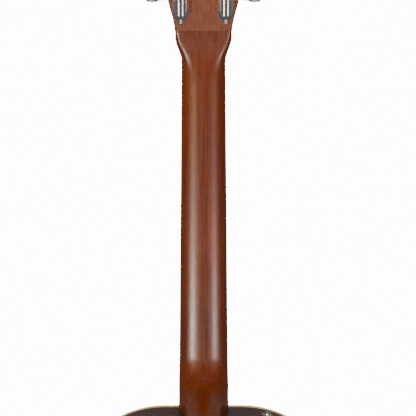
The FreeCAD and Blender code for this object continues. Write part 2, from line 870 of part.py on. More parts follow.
# ---------------------------------------------------------------- strap fittings
def strap_seat():
    """Point on the side's outer face under the strap button, and the outward direction there."""
    across = strap_button_x - shoulder_flat
    if across <= 0:
        return V(strap_button_x, -strap_button_depth, body_top), V(0, 0, 1)
    rise = math.sqrt(shoulder_radius ** 2 - across ** 2)
    outward = V(across, 0, rise).normalize()
    return V(strap_button_x, -strap_button_depth, body_top - shoulder_radius + rise), outward


def strap_hole():
    seat, outward = strap_seat()
    return rod(strap_screw_radius, strap_screw_length + 20, seat - outward * strap_screw_length, outward)


def turned(points, origin, direction):
    """Round piece turned about a line from radius and height pairs."""
    corners = [V(radius, 0, height) for radius, height in points]
    profile = Part.Face(Part.makePolygon(corners + [corners[0]]))
    shape = profile.revolve(V(0, 0, 0), Z_AXIS, 360)
    shape.Placement = FreeCAD.Placement(origin, FreeCAD.Rotation(Z_AXIS, direction))
    return shape


def strap_profile(length, head_radius, waist_radius, bore):
    """Foot, waisted stem and rounded head of a strap button."""
    steps = [(bore, 0), (head_radius * 0.86, 0), (head_radius * 0.86, 1.2)]
    for index in range(1, 7):
        turn = math.pi * index / 7
        steps.append((waist_radius + (head_radius * 0.8 - waist_radius) * (1 - math.sin(turn)),
                      1.2 + (length - 5.2) * index / 7))
    steps += [(head_radius, length - 4.0), (head_radius, length - 1.6), (head_radius - 1.2, length - 0.3),
              (head_radius - 2.6, length), (bore, length)]
    return steps


def make_strap_button():
    seat, outward = strap_seat()
    return turned(strap_profile(strap_button_length, strap_button_radius, strap_waist_radius,
                                strap_screw_radius + post_clearance), seat, outward)


def make_strap_screw():
    """Domed wood screw through the strap button into the neck block."""
    seat, outward = strap_seat()
    shank = rod(strap_screw_radius, strap_screw_length - 2 + strap_button_length,
                seat - outward * (strap_screw_length - 2), outward)
    top = seat + outward * strap_button_length
    head = rod(strap_screw_head_radius, 0.8, top, outward)
    dome = Part.makeSphere(strap_screw_head_radius * 1.25, top - outward * strap_screw_head_radius * 0.5)
    dome = dome.common(half_space(top + outward * 0.8, outward))
    return fused([shank, head, dome])


end_pin_place = V(0, -body_depth / 2, body_bottom)


def end_pin_hole():
    return rod(end_pin_shank_radius, 60, end_pin_place + Z_AXIS * 30, Z_AXIS * -1)


def make_end_pin():
    """Tapered plug with a strap knob, pressed into the tail block."""
    knob = turned(strap_profile(end_pin_length, end_pin_radius, strap_waist_radius, 0.0),
                  end_pin_place, Z_AXIS * -1)
    shank = rod(end_pin_shank_radius, tail_block_length, end_pin_place, Z_AXIS)
    return fused([knob, shank])


# ---------------------------------------------------------------- tuners, drawn on the upright headstock
plate_back = -head_thickness - plate_thickness
worm_y = plate_back - worm_depth
gear_mesh_distance = gear_pitch_radius + worm_pitch_radius
worm_lead = 2 * math.pi * gear_pitch_radius / gear_teeth
gear_outer_radius = gear_pitch_radius + tooth_height
worm_outer_radius = worm_pitch_radius + tooth_height
worm_neck_radius = worm_outer_radius - 0.1
plate_shift = 1.4             # plate's middle above the post


def tuner_point(place, x_out, y, z_up):
    """Point near a tuner: outwards from the post's line, and up from the post."""
    side, height = place
    return V(side * (post_offset + x_out), y, nut_length + height + z_up)


def plate_screw_points(place):
    return [tuner_point(place, 0, plate_back, plate_shift + sign * screw_spacing / 2) for sign in (1, -1)]


def dome_screw(place, direction):
    """Small domed wood screw: its head sits on the place, its shank goes back into the wood."""
    shank = rod(screw_shank_radius, screw_length, place, direction * -1)
    rise = 1.3
    sphere_radius = (screw_head_radius ** 2 + rise ** 2) / (2 * rise)
    dome = Part.makeSphere(sphere_radius, place + direction * (rise - sphere_radius))
    dome = dome.common(half_space(place, direction, 40.0))
    slot = Part.makeBox(8, 0.4, 0.5, V(-4, -0.2, 0))
    slot.Placement = FreeCAD.Placement(place + direction * (rise - 0.5), FreeCAD.Rotation(Z_AXIS, direction))
    return fused([shank, dome]).cut(slot)


def make_head_screws():
    screws = []
    for place in post_places():
        screws += [dome_screw(point, Y_AXIS * -1) for point in plate_screw_points(place)]
    cover_face = veneer_thickness + truss_cover_thickness
    screws += [dome_screw(V(x, cover_face, z), Y_AXIS) for x, z in truss_cover_screws()]
    return on_head(group(screws))


def screw_bores():
    """Holes that the screws cut in the headstock's wood."""
    bores = []
    for place in post_places():
        for point in plate_screw_points(place):
            bores.append(rod(screw_shank_radius, screw_length, point, Y_AXIS))
    cover_face = veneer_thickness + truss_cover_thickness
    for x, z in truss_cover_screws():
        bores.append(rod(screw_shank_radius, screw_length, V(x, cover_face, z), Y_AXIS * -1))
    return Part.makeCompound(bores)


def make_plate(place):
    """Base plate with a tapered, round-ended tab at each end."""
    middle = tuner_point(place, 0, plate_back, plate_shift)
    half, tip = plate_width / 2, 3.7
    end = plate_half_length - tip
    outline = Part.makePolygon([V(-half, 0, -housing_half_length), V(-half, 0, housing_half_length),
                                V(-tip, 0, end), V(tip, 0, end), V(half, 0, housing_half_length),
                                V(half, 0, -housing_half_length), V(tip, 0, -end), V(-tip, 0, -end),
                                V(-half, 0, -housing_half_length)])
    plate = Part.Face(outline).extrude(V(0, plate_thickness, 0))
    tips = [rod(tip, plate_thickness, V(0, 0, sign * end), Y_AXIS) for sign in (1, -1)]
    plate = fused([plate] + tips)
    plate.translate(middle)
    holes = [rod(screw_shank_radius, 9, point - Y_AXIS * 3, Y_AXIS) for point in plate_screw_points(place)]
    holes.append(rod(post_radius + post_clearance, 9, tuner_point(place, 0, plate_back - 3, 0), Y_AXIS))
    return plate.cut(Part.makeCompound(holes))


def housing_body(place, inset, height):
    """Barrel-shaped block of the housing, bulging at its sides and rounded over its back."""
    long, wide, narrow = housing_half_length - inset, housing_width / 2 - inset, housing_end_width / 2 - inset
    right = Part.Arc(V(narrow, 0, long), V(wide, 0, 0), V(narrow, 0, -long)).toShape()
    left = Part.Arc(V(-narrow, 0, -long), V(-wide, 0, 0), V(-narrow, 0, long)).toShape()
    ends = [Part.makeLine(V(-narrow, 0, long), V(narrow, 0, long)),
            Part.makeLine(V(narrow, 0, -long), V(-narrow, 0, -long))]
    block = Part.Face(Part.Wire(Part.__sortEdges__([right, left] + ends))).extrude(V(0, -height, 0))
    arch = Part.Ellipse(V(0, 0, 0), height, wide * housing_arch)
    arch.Axis, arch.XAxis = Z_AXIS, Y_AXIS
    vault = Part.Face(Part.Wire([arch.toShape()])).extrude(V(0, 0, 2 * long))
    vault.translate(V(0, 0, -long))
    block = block.common(vault)
    rim = [edge for edge in block.Edges
           if abs(abs(edge.CenterOfMass.z) - long) < 1e-6 and edge.BoundBox.YLength > height / 2]
    block = block.makeFillet(1.1 - inset / 2, rim)
    block.translate(tuner_point(place, 0, plate_back, plate_shift))
    return block


def make_housing(place):
    """Pressed cover over the worm and wheel."""
    shell = housing_body(place, 0, housing_height)
    shell = shell.cut(housing_body(place, housing_wall, housing_height - housing_wall))
    side = place[0]
    return shell.cut(rod(worm_neck_radius + shaft_clearance, 12,
                         tuner_point(place, 0, worm_y, gear_mesh_distance), X_AXIS * side))


def make_bushing(place):
    """Flanged sleeve pressed into the headstock's face round the post."""
    seat = tuner_point(place, 0, veneer_thickness, 0)
    sleeve = rod(bushing_radius, 9.0, seat - Y_AXIS * 9.0, Y_AXIS)
    flange = cone(bushing_flange_radius, bushing_flange_radius - 0.7, bushing_flange_height, seat, Y_AXIS)
    bushing = fused([sleeve, flange])
    return bushing.cut(rod(post_radius + post_clearance, 30, seat - Y_AXIS * 15, Y_AXIS))


def make_gear(place):
    """Worm wheel on the post's lower end: straight teeth with room for the worm's thread."""
    centre = tuner_point(place, 0, worm_y - gear_thickness / 2, 0)
    disc = rod(gear_outer_radius, gear_thickness, V(0, 0, 0), Y_AXIS)
    gaps = []
    root = gear_pitch_radius - tooth_height - mesh_clearance
    half_gap = worm_lead / 4 + mesh_clearance
    for tooth in range(gear_teeth):
        profile = [V(-half_gap * 0.62, 0, root), V(half_gap * 0.62, 0, root),
                   V(half_gap * 1.3, 0, gear_outer_radius + 0.5), V(-half_gap * 1.3, 0, gear_outer_radius + 0.5)]
        gap = Part.Face(Part.makePolygon(profile + profile[:1])).extrude(V(0, gear_thickness, 0))
        gap.rotate(V(0, 0, 0), Y_AXIS, 360.0 * tooth / gear_teeth)
        gaps.append(gap)
    gear = disc.cut(Part.makeCompound(gaps)).cut(rod(post_radius, 20, V(0, -5, 0), Y_AXIS))
    gear.translate(centre)
    return gear


def make_post(place):
    """String post with a waist and a cross hole, and its brass wheel."""
    foot = tuner_point(place, 0, worm_y - gear_thickness / 2 - 0.6, 0)
    top = veneer_thickness + post_rise
    full = top - foot.y
    waist_low, waist_high = veneer_thickness + 2.4 - foot.y, full - 2.6
    steps = [(0, 0), (post_radius, 0), (post_radius, waist_low)]
    for index in range(1, 8):
        dip = 0.75 * math.sin(math.pi * index / 8)
        steps.append((post_radius - dip, waist_low + (waist_high - waist_low) * index / 8))
    steps += [(post_radius, waist_high), (post_radius, full - 0.8), (post_radius - 0.8, full), (0, full)]
    post = turned(steps, foot, Y_AXIS)
    hole = rod(1.0, 12, tuner_point(place, 0, veneer_thickness + 8.0, 0) - X_AXIS * 6, X_AXIS)
    return group([post.cut(hole), make_gear(place)])


def thread_ridge():
    """Single-start ridge of the worm along +X, centred on the origin."""
    turns = worm_length / worm_lead
    root = worm_pitch_radius - tooth_height - 0.2
    helix = Part.makeHelix(worm_lead, worm_length, root)
    low, high = worm_lead * 0.27, worm_lead * 0.13
    profile = [V(root - 0.1, 0, -low), V(worm_outer_radius, 0, -high), V(worm_outer_radius, 0, high),
               V(root - 0.1, 0, low)]
    wire = Part.makePolygon(profile + profile[:1])
    ridge = Part.Wire(helix.Edges).makePipeShell([wire], True, True)
    ridge.translate(V(0, 0, -worm_length / 2))
    ridge.rotate(V(0, 0, 0), Z_AXIS, -360.0 * turns / 2)
    ridge.rotate(V(0, 0, 0), Y_AXIS, 90)
    return ridge


def make_worm_shaft(place, ridge):
    """Worm and its shaft in one piece, out to the button."""
    side = place[0]
    axis = X_AXIS * side
    neck_start = worm_length / 2 + worm_stub
    core = rod(worm_pitch_radius - tooth_height - 0.1, 2 * neck_start + 0.3, V(-side * neck_start, 0, 0), axis)
    neck = rod(worm_neck_radius, button_start - post_offset - neck_start, V(side * neck_start, 0, 0), axis)
    spigot = rod(worm_shaft_radius, 9.0, V(side * (button_start - post_offset - 0.5), 0, 0), axis)
    shaft = fused([core, neck, spigot, ridge])
    shaft.translate(tuner_point(place, 0, worm_y, gear_mesh_distance))
    return shaft


def make_button(place, turn):
    """Oval cast button with its collar and end screw, bored for the shaft."""
    side = place[0]
    middle = button_length / 2 + 1.0
    oval = Part.Ellipse(V(0, 0, 0), button_width / 2, (button_length - 2.0) / 2).toShape()
    face = Part.Face(Part.Wire([oval]))
    body = face.extrude(V(0, 0, button_thickness))
    body = body.makeFillet(button_thickness * 0.44, [e for e in body.Edges if e.Length > button_length])
    body.translate(V(0, 0, -button_thickness / 2))
    body.rotate(V(0, 0, 0), Z_AXIS, 90)
    body.translate(V(side * middle, 0, 0))
    collar = cone(button_collar_radius, button_collar_radius - 0.5, 4.0, V(0, 0, 0), X_AXIS * side)
    button = fused([body, collar])
    button = button.cut(rod(worm_shaft_radius, 8.5, V(0, 0, 0), X_AXIS * side))
    cap = rod(2.3, button_length - 8.5 - 1.2, V(side * 8.5, 0, 0), X_AXIS * side)
    crown = cone(2.3, 1.6, 1.2, V(side * (button_length - 1.2), 0, 0), X_AXIS * side)
    button = button.cut(rod(2.3, 20, V(side * 8.5, 0, 0), X_AXIS * side))
    whole = group([button, fused([cap, crown])])
    whole.rotate(V(0, 0, 0), X_AXIS, turn)
    whole.translate(tuner_point(place, button_start - post_offset, worm_y, gear_mesh_distance))
    return whole


# ---------------------------------------------------------------- the parts
os.makedirs("parts", exist_ok=True)


def export(name, shape):
    shape.exportStep(f"parts/{name}.step")


wood = neck_wood().cut(on_head(screw_bores()))
neck = make_neck(wood)

export("soundboard", make_soundboard())
export("back_plate", make_back_plate())
export("rib_bass", make_rib(1))
export("rib_treble", make_rib(-1))
export("neck_block", make_neck_block())
export("tail_block", make_tail_block())
export("lining_top", make_lining(board_inner, -1))
export("lining_back", make_lining(back_inner, 1))
export("soundboard_braces", make_soundboard_braces())
export("back_braces", make_back_braces())
export("bridge_patch", make_bridge_patch())
export("binding_top", make_binding(0, -1))
export("binding_back", make_binding(back_outer, 1))
export("rosette", rosette_ring())
export("bridge", make_bridge())
export("saddle", make_saddle())
export("bridge_pins", make_bridge_pins())
export("neck", neck)
export("headstock", make_headstock(wood))
export("head_veneer", make_head_veneer().cut(on_head(screw_bores())))
export("heel_cap", make_heel_cap(neck))
export("truss_rod", make_truss_rod())
export("truss_rod_cover", make_truss_rod_cover())
export("fingerboard", make_fingerboard())
export("fret_markers", make_fret_markers())
export("frets", make_frets())
export("nut", make_nut())
export("strings_plain", make_strings(0, 4))
export("strings_wound", make_strings(4, 8))
export("strap_button", make_strap_button())
export("strap_screw", make_strap_screw())
export("end_pin", make_end_pin())

places = post_places()
export("head_screws", make_head_screws())
export("tuner_plates", on_head(group([make_plate(place) for place in places])))
export("tuner_housings", on_head(group([make_housing(place) for place in places])))
export("post_bushings", on_head(group([make_bushing(place) for place in places])))
worm_ridge = thread_ridge()
for number, place in enumerate(places, start=1):
    export(f"post_{number}", on_head(make_post(place)))
    export(f"worm_shaft_{number}", on_head(make_worm_shaft(place, worm_ridge)))
    export(f"button_{number}", on_head(make_button(place, button_turns[number - 1])))
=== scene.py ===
import json
import math

import bpy
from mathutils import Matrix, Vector


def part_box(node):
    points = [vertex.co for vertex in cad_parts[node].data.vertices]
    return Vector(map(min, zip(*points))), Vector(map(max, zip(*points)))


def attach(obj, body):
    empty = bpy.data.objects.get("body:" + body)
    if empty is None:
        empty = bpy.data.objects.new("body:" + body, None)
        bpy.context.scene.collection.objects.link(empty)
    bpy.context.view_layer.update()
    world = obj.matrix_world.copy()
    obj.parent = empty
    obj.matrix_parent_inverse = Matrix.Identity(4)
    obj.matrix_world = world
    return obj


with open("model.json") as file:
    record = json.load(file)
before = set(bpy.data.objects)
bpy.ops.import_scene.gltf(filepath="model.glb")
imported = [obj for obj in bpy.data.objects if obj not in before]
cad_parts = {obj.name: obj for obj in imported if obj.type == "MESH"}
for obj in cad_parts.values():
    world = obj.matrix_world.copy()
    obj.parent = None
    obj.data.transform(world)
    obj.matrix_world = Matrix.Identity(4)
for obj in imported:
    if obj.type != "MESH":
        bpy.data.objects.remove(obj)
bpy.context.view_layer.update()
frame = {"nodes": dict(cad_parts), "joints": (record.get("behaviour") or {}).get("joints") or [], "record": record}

# ---------------------------------------------------------------- camera
# A long lens behind the instrument, level with the nape's lower end and tipped a little down,
# so that the heel and the top edge of the body come into view below the neck.
camera_distance = 0.922
camera_height = -0.050
camera_side = 0.0045
look_down = math.radians(6.34)
camera_data = bpy.data.cameras.new("long_lens")
camera_data.lens = 78.4
camera_data.sensor_width = 36.0
camera = bpy.data.objects.new("camera", camera_data)
camera.location = (camera_side, -camera_distance, camera_height)
camera.rotation_euler = (math.radians(90) - look_down, 0, 0)
bpy.context.collection.objects.link(camera)
bpy.context.scene.camera = camera


# ---------------------------------------------------------------- studio
# A pale floor well below the hanging instrument, and paper that the camera sees white but that
# lights the wood only dimly.  Two tall warm soft boxes behind the camera draw a long highlight down
# each flank of the neck, and two small low ones strengthen its lower end.
def add_node(tree, kind, **sockets):
    """A shader node with some of its inputs set by name."""
    node = tree.nodes.new(kind)
    for name, value in sockets.items():
        node.inputs[name.replace("_", " ")].default_value = value
    return node


floor_height = -0.98
bpy.ops.object.select_all(action="DESELECT")
bpy.ops.mesh.primitive_circle_add(vertices=96, radius=1.2, fill_type="NGON", location=(0, 0, floor_height))
floor = bpy.context.object
floor.name = "studio_floor"
floor_paint = bpy.data.materials.new("pale_floor")
floor_paint.use_nodes = True
floor_paint.node_tree.nodes["Principled BSDF"].inputs["Base Color"].default_value = (0.86, 0.86, 0.85, 1)
floor_paint.node_tree.nodes["Principled BSDF"].inputs["Roughness"].default_value = 0.85
floor.data.materials.append(floor_paint)

world = bpy.data.worlds.new("white_paper")
bpy.context.scene.world = world
world.use_nodes = True
paper = world.node_tree
paper.nodes.clear()
direction = add_node(paper, "ShaderNodeTexCoord")
split = add_node(paper, "ShaderNodeSeparateXYZ")
ramp = add_node(paper, "ShaderNodeValToRGB")
ramp.color_ramp.elements[0].position = 0.25
ramp.color_ramp.elements[0].color = (0.10, 0.10, 0.105, 1)
ramp.color_ramp.elements[1].position = 0.80
ramp.color_ramp.elements[1].color = (0.20, 0.19, 0.19, 1)
shift = add_node(paper, "ShaderNodeMath")
shift.operation = "MULTIPLY_ADD"
shift.inputs[1].default_value = 0.5
shift.inputs[2].default_value = 0.5
around = add_node(paper, "ShaderNodeBackground", Strength=0.9)
seen = add_node(paper, "ShaderNodeBackground", Color=(1.0, 1.0, 1.0, 1), Strength=14.0)
rays = add_node(paper, "ShaderNodeLightPath")
choose = add_node(paper, "ShaderNodeMixShader")
out = add_node(paper, "ShaderNodeOutputWorld")
paper.links.new(direction.outputs["Generated"], split.inputs[0])
paper.links.new(split.outputs["Y"], shift.inputs[0])
paper.links.new(shift.outputs[0], ramp.inputs[0])
paper.links.new(ramp.outputs["Color"], around.inputs["Color"])
paper.links.new(rays.outputs["Is Camera Ray"], choose.inputs[0])
paper.links.new(around.outputs[0], choose.inputs[1])
paper.links.new(seen.outputs[0], choose.inputs[2])
paper.links.new(choose.outputs[0], out.inputs[0])


def soft_box(name, place, target, width, height, power, tint):
    """Area light aimed at a point of the instrument."""
    lamp = bpy.data.lights.new(name, "AREA")
    lamp.shape = "RECTANGLE"
    lamp.size = width
    lamp.size_y = height
    lamp.energy = power
    lamp.color = tint
    holder = bpy.data.objects.new(name, lamp)
    bpy.context.collection.objects.link(holder)
    holder.location = place
    holder.rotation_euler = (Vector(target) - Vector(place)).to_track_quat("-Z", "Y").to_euler()
    return holder


def hide_from_reflections(lamp):
    """Leave a light's glow on the wood but keep its shape out of the varnish."""
    lamp.visible_glossy = False


def keep_off_the_wood(lamp):
    """Show a light as a highlight in the varnish without brightening the stain below it."""
    lamp.visible_diffuse = False


middle_of_neck = (0, 0, -0.25)
above_heel = (0, 0, -0.30)
upper_body = (0, 0, -0.40)
soft_box("left_box", (-1.02, -1.50, -0.05), middle_of_neck, width=0.34, height=1.7, power=13.0,
         tint=(1.0, 0.64, 0.36))
soft_box("right_box", (1.05, -1.55, -0.05), middle_of_neck, width=0.38, height=1.7, power=8.0,
         tint=(1.0, 0.60, 0.44))
left_low_box = soft_box("left_low_box", (-0.98, -1.42, -0.76), above_heel, width=0.26, height=0.26,
                        power=34.0, tint=(1.0, 0.93, 0.80))
right_low_box = soft_box("right_low_box", (1.00, -1.45, -0.76), above_heel, width=0.26, height=0.26,
                         power=22.0, tint=(1.0, 0.80, 0.82))
top_box = soft_box("top_box", (0.0, -0.7, 1.5), upper_body, width=1.2, height=1.0, power=12.0,
                   tint=(1.0, 1.0, 1.0))
fill_box = soft_box("fill_box", (0.0, -2.2, 0.3), (0, 0, -0.1), width=1.6, height=1.2, power=11.0,
                    tint=(1.0, 0.97, 0.94))
front_box = soft_box("front_box", (0.7, 1.9, 0.7), upper_body, width=1.2, height=1.4, power=34.0,
                     tint=(1.0, 0.98, 0.95))
front_left_box = soft_box("front_left_box", (-1.4, 1.6, 0.2), upper_body, width=0.9, height=1.4, power=16.0,
                          tint=(1.0, 0.98, 0.96))
for lamp in (left_low_box, right_low_box):
    keep_off_the_wood(lamp)
for lamp in (top_box, fill_box, front_box, front_left_box):
    hide_from_reflections(lamp)


# ---------------------------------------------------------------- neck and heel
# One piece of mahogany, bandsawn and shaped by hand to a round back, its heel carved down to the
# body's back.  Stained red-brown, with the grain left open under a rubbed satin varnish.
def new_group(name, inputs, outputs):
    """Empty shader group with named sockets; an input is a name, a kind and a default."""
    group = bpy.data.node_groups.new(name, "ShaderNodeTree")
    for label, kind, default in inputs:
        socket = group.interface.new_socket(label, in_out="INPUT", socket_type="NodeSocket" + kind)
        if default is not None:
            socket.default_value = default
    for label, kind in outputs:
        group.interface.new_socket(label, in_out="OUTPUT", socket_type="NodeSocket" + kind)
    return group, group.nodes.new("NodeGroupInput"), group.nodes.new("NodeGroupOutput")


def add_math(tree, operation, first, second=None, clamp=False):
    """Math node; each operand is a socket to link or a number."""
    node = tree.nodes.new("ShaderNodeMath")
    node.operation = operation
    node.use_clamp = clamp
    for index, value in enumerate((first, second)):
        if value is None:
            continue
        if isinstance(value, (int, float)):
            node.inputs[index].default_value = value
        else:
            tree.links.new(value, node.inputs[index])
    return node.outputs[0]


def add_mix(tree, share, first, second, blend="MIX"):
    """Colour mix; share and colours are sockets or values."""
    node = tree.nodes.new("ShaderNodeMix")
    node.data_type = "RGBA"
    node.blend_type = blend
    for index, value in ((0, share), (6, first), (7, second)):
        if isinstance(value, (int, float, tuple)):
            node.inputs[index].default_value = value
        else:
            tree.links.new(value, node.inputs[index])
    return node.outputs[2]


def add_ramp(tree, value, stops):
    """Colour ramp over a value; a stop is a place and a grey level or a colour."""
    node = tree.nodes.new("ShaderNodeValToRGB")
    elements = node.color_ramp.elements
    while len(elements) < len(stops):
        elements.new(0.5)
    for element, (place, level) in zip(elements, stops):
        element.position = place
        element.color = (level, level, level, 1) if isinstance(level, (int, float)) else (*level, 1)
    tree.links.new(value, node.inputs[0])
    return node.outputs["Color"]


def add_noise(tree, vector, scale, detail=4.0, roughness=0.55):
    node = add_node(tree, "ShaderNodeTexNoise", Scale=scale, Detail=detail, Roughness=roughness)
    tree.links.new(vector, node.inputs["Vector"])
    return node.outputs["Fac"]


def add_stretch(tree, vector, scale):
    """Draw a pattern out: scale is three numbers or a socket, and a small one makes long streaks."""
    node = tree.nodes.new("ShaderNodeVectorMath")
    node.operation = "MULTIPLY"
    tree.links.new(vector, node.inputs[0])
    if isinstance(scale, tuple):
        node.inputs[1].default_value = scale
    else:
        tree.links.new(scale, node.inputs[1])
    return node.outputs[0]


def make_open_grain():
    """Tropical hardwood cut along +Z: streaks, slow changes of tone and short dark pores."""
    group, given, result = new_group(
        "open_grain",
        [("Vector", "Vector", None), ("Pale", "Color", (0.3, 0.1, 0.04, 1)),
         ("Dark", "Color", (0.1, 0.03, 0.01, 1)), ("Run", "Float", 0.05), ("Pores", "Float", 0.5)],
        [("Color", "Color"), ("Height", "Float"), ("Sheen", "Float")])
    links = group.links
    run = add_node(group, "ShaderNodeCombineXYZ", X=1.0, Y=1.0)
    links.new(given.outputs["Run"], run.inputs["Z"])
    drawn = add_stretch(group, given.outputs["Vector"], run.outputs[0])
    streaks = add_noise(group, drawn, 420.0, 5.0, 0.6)
    fine = add_noise(group, drawn, 1500.0, 3.0, 0.5)
    slow = add_noise(group, given.outputs["Vector"], 9.0, 2.0, 0.5)
    tone = add_math(group, "ADD", add_math(group, "MULTIPLY", streaks, 0.55),
                    add_math(group, "MULTIPLY", slow, 0.45))
    tone = add_ramp(group, tone, [(0.34, 0.0), (0.66, 1.0)])
    pores = add_ramp(group, fine, [(0.57, 0.0), (0.66, 1.0)])
    pore_mask = add_math(group, "MULTIPLY", pores, given.outputs["Pores"])
    colour = add_mix(group, tone, given.outputs["Dark"], given.outputs["Pale"])
    deep = add_mix(group, 0.72, colour, (0.0, 0.0, 0.0, 1.0))
    links.new(add_mix(group, pore_mask, colour, deep), result.inputs["Color"])
    height = add_math(group, "SUBTRACT", add_math(group, "MULTIPLY", streaks, 0.35), pore_mask)
    links.new(height, result.inputs["Height"])
    links.new(add_math(group, "MULTIPLY", streaks, 0.16), result.inputs["Sheen"])
    return group


def make_handling():
    """Slow uneven gloss from hands and polishing, with a few faint smears."""
    group, given, result = new_group("handling", [("Vector", "Vector", None), ("Amount", "Float", 0.1)],
                                     [("Gloss", "Float")])
    slow = add_noise(group, given.outputs["Vector"], 22.0, 3.0, 0.6)
    small = add_noise(group, given.outputs["Vector"], 140.0, 4.0, 0.65)
    both = add_math(group, "ADD", add_math(group, "MULTIPLY", slow, 0.7),
                    add_math(group, "MULTIPLY", small, 0.3))
    spread = add_math(group, "MULTIPLY", add_math(group, "SUBTRACT", both, 0.5), given.outputs["Amount"])
    group.links.new(spread, result.inputs["Gloss"])
    return group


open_grain = make_open_grain()
handling = make_handling()


def place_group(tree, group, vector=None, **values):
    node = tree.nodes.new("ShaderNodeGroup")
    node.node_tree = group
    for name, value in values.items():
        node.inputs[name.replace("_", " ")].default_value = value
    if vector is not None:
        tree.links.new(vector, node.inputs["Vector"])
    return node


def start_material(name, **shader_values):
    """Principled material with a Mapping node on the object's own coordinates."""
    material = bpy.data.materials.new(name)
    material.use_nodes = True
    tree = material.node_tree
    shader = tree.nodes["Principled BSDF"]
    for socket, value in shader_values.items():
        shader.inputs[socket.replace("_", " ")].default_value = value
    coordinates = tree.nodes.new("ShaderNodeTexCoord")
    mapping = tree.nodes.new("ShaderNodeMapping")
    tree.links.new(coordinates.outputs["Object"], mapping.inputs["Vector"])
    return material, tree, shader, mapping


def add_bump(tree, shader, height, strength, distance):
    bump = add_node(tree, "ShaderNodeBump", Strength=strength, Distance=distance)
    tree.links.new(height, bump.inputs["Height"])
    tree.links.new(bump.outputs["Normal"], shader.inputs["Normal"])


grain_sheen = 0.07     # about what the streaks add back to the roughness


def wood_material(name, pale, dark, run, pores, roughness, bump, coat=0.0, turn=(0, 0, 0)):
    """Stained open-grained wood under varnish."""
    material, tree, shader, mapping = start_material(name, Coat_Weight=coat, Coat_Roughness=0.08,
                                                     Specular_IOR_Level=0.5)
    mapping.inputs["Rotation"].default_value = turn
    figure = place_group(tree, open_grain, mapping.outputs[0], Pale=(*pale, 1), Dark=(*dark, 1), Run=run,
                         Pores=pores)
    hands = place_group(tree, handling, mapping.outputs[0], Amount=0.18)
    tree.links.new(figure.outputs["Color"], shader.inputs["Base Color"])
    rough = add_math(tree, "ADD", hands.outputs["Gloss"], roughness - grain_sheen)
    rough = add_math(tree, "ADD", rough, figure.outputs["Sheen"], clamp=True)
    tree.links.new(rough, shader.inputs["Roughness"])
    add_bump(tree, shader, figure.outputs["Height"], bump, 0.0004)
    return material


def dress(material, *names):
    """Give CAD nodes their finished material."""
    for name in names:
        slots = frame["nodes"][name].data.materials
        slots.clear()
        slots.append(material)


neck_wood = wood_material("neck_mahogany", (0.230, 0.048, 0.003), (0.120, 0.021, 0.002),
                          run=0.035, pores=0.40, roughness=0.36, bump=0.05)
dress(neck_wood, "neck")


# ---------------------------------------------------------------- headstock
# A second board of paler mahogany, spliced to the neck on a long glued ramp whose end shows as a
# line across the back.  Its shorter, rougher grain takes the stain more orange.
head_wood = wood_material("head_mahogany", (0.290, 0.068, 0.006), (0.165, 0.031, 0.003),
                          run=0.16, pores=0.75, roughness=0.44, bump=0.14)
dress(head_wood, "headstock")


# ---------------------------------------------------------------- dark wood pieces
# Rosewood fingerboard, bridge, headstock veneer and heel cap, oiled rather than varnished, planed
# along the grain and glued in place.
rosewood_pale = (0.115, 0.052, 0.032)
rosewood_dark = (0.030, 0.014, 0.010)
rosewood = wood_material("rosewood", rosewood_pale, rosewood_dark,
                         run=0.03, pores=0.8, roughness=0.42, bump=0.14)
dress(rosewood, "fingerboard", "head_veneer", "heel_cap")
cross_rosewood = wood_material("cross_rosewood", rosewood_pale, rosewood_dark,
                               run=0.03, pores=0.8, roughness=0.38, bump=0.12, turn=(0, math.radians(90), 0))
dress(cross_rosewood, "bridge")


# ---------------------------------------------------------------- back and sides
# Thin mahogany bent round a mould for the sides and joined in the middle for the back, filled,
# stained dark purple-brown and polished to a full gloss.
body_wood = wood_material("body_mahogany", (0.062, 0.013, 0.010), (0.030, 0.006, 0.005),
                          run=0.04, pores=0.30, roughness=0.30, bump=0.03, coat=0.35)
dress(body_wood, "back_plate", "rib_bass", "rib_treble")


# ---------------------------------------------------------------- inside pieces
# Blocks, linings and braces of bare spruce and cedar that are glued inside the box and are seen
# only through the soundhole.
bare_wood = wood_material("bare_wood", (0.62, 0.46, 0.28), (0.46, 0.31, 0.17),
                          run=0.05, pores=0.15, roughness=0.62, bump=0.08)
dress(bare_wood, "neck_block", "tail_block", "lining_top", "lining_back", "soundboard_braces", "back_braces",
      "bridge_patch")


# ---------------------------------------------------------------- bindings
# Cream plastic strips, bent hot and let into both edges of the box, scraped flush and polished
# with the body; the colour has yellowed a little unevenly.
def make_cast_colour():
    """Slightly cloudy plastic or bone: two close tones and a faint grain."""
    group, given, result = new_group(
        "cast_colour", [("Vector", "Vector", None), ("Pale", "Color", (0.8, 0.7, 0.5, 1)),
                        ("Dark", "Color", (0.6, 0.5, 0.3, 1)), ("Scale", "Float", 60.0)],
        [("Color", "Color"), ("Height", "Float")])
    noise = add_node(group, "ShaderNodeTexNoise", Detail=3.0, Roughness=0.6)
    group.links.new(given.outputs["Vector"], noise.inputs["Vector"])
    group.links.new(given.outputs["Scale"], noise.inputs["Scale"])
    share = add_ramp(group, noise.outputs["Fac"], [(0.35, 0.0), (0.65, 1.0)])
    colour = add_mix(group, share, given.outputs["Dark"], given.outputs["Pale"])
    group.links.new(colour, result.inputs["Color"])
    group.links.new(noise.outputs["Fac"], result.inputs["Height"])
    return group


cast_colour = make_cast_colour()


def cast_material(name, pale, dark, scale, roughness, bump=0.03, **shader_values):
    material, tree, shader, mapping = start_material(name, **shader_values)
    tone = place_group(tree, cast_colour, mapping.outputs[0], Pale=(*pale, 1), Dark=(*dark, 1), Scale=scale)
    hands = place_group(tree, handling, mapping.outputs[0], Amount=0.12)
    tree.links.new(tone.outputs["Color"], shader.inputs["Base Color"])
    rough = add_math(tree, "ADD", hands.outputs["Gloss"], roughness, clamp=True)
    tree.links.new(rough, shader.inputs["Roughness"])
    add_bump(tree, shader, tone.outputs["Height"], bump, 0.0003)
    return material


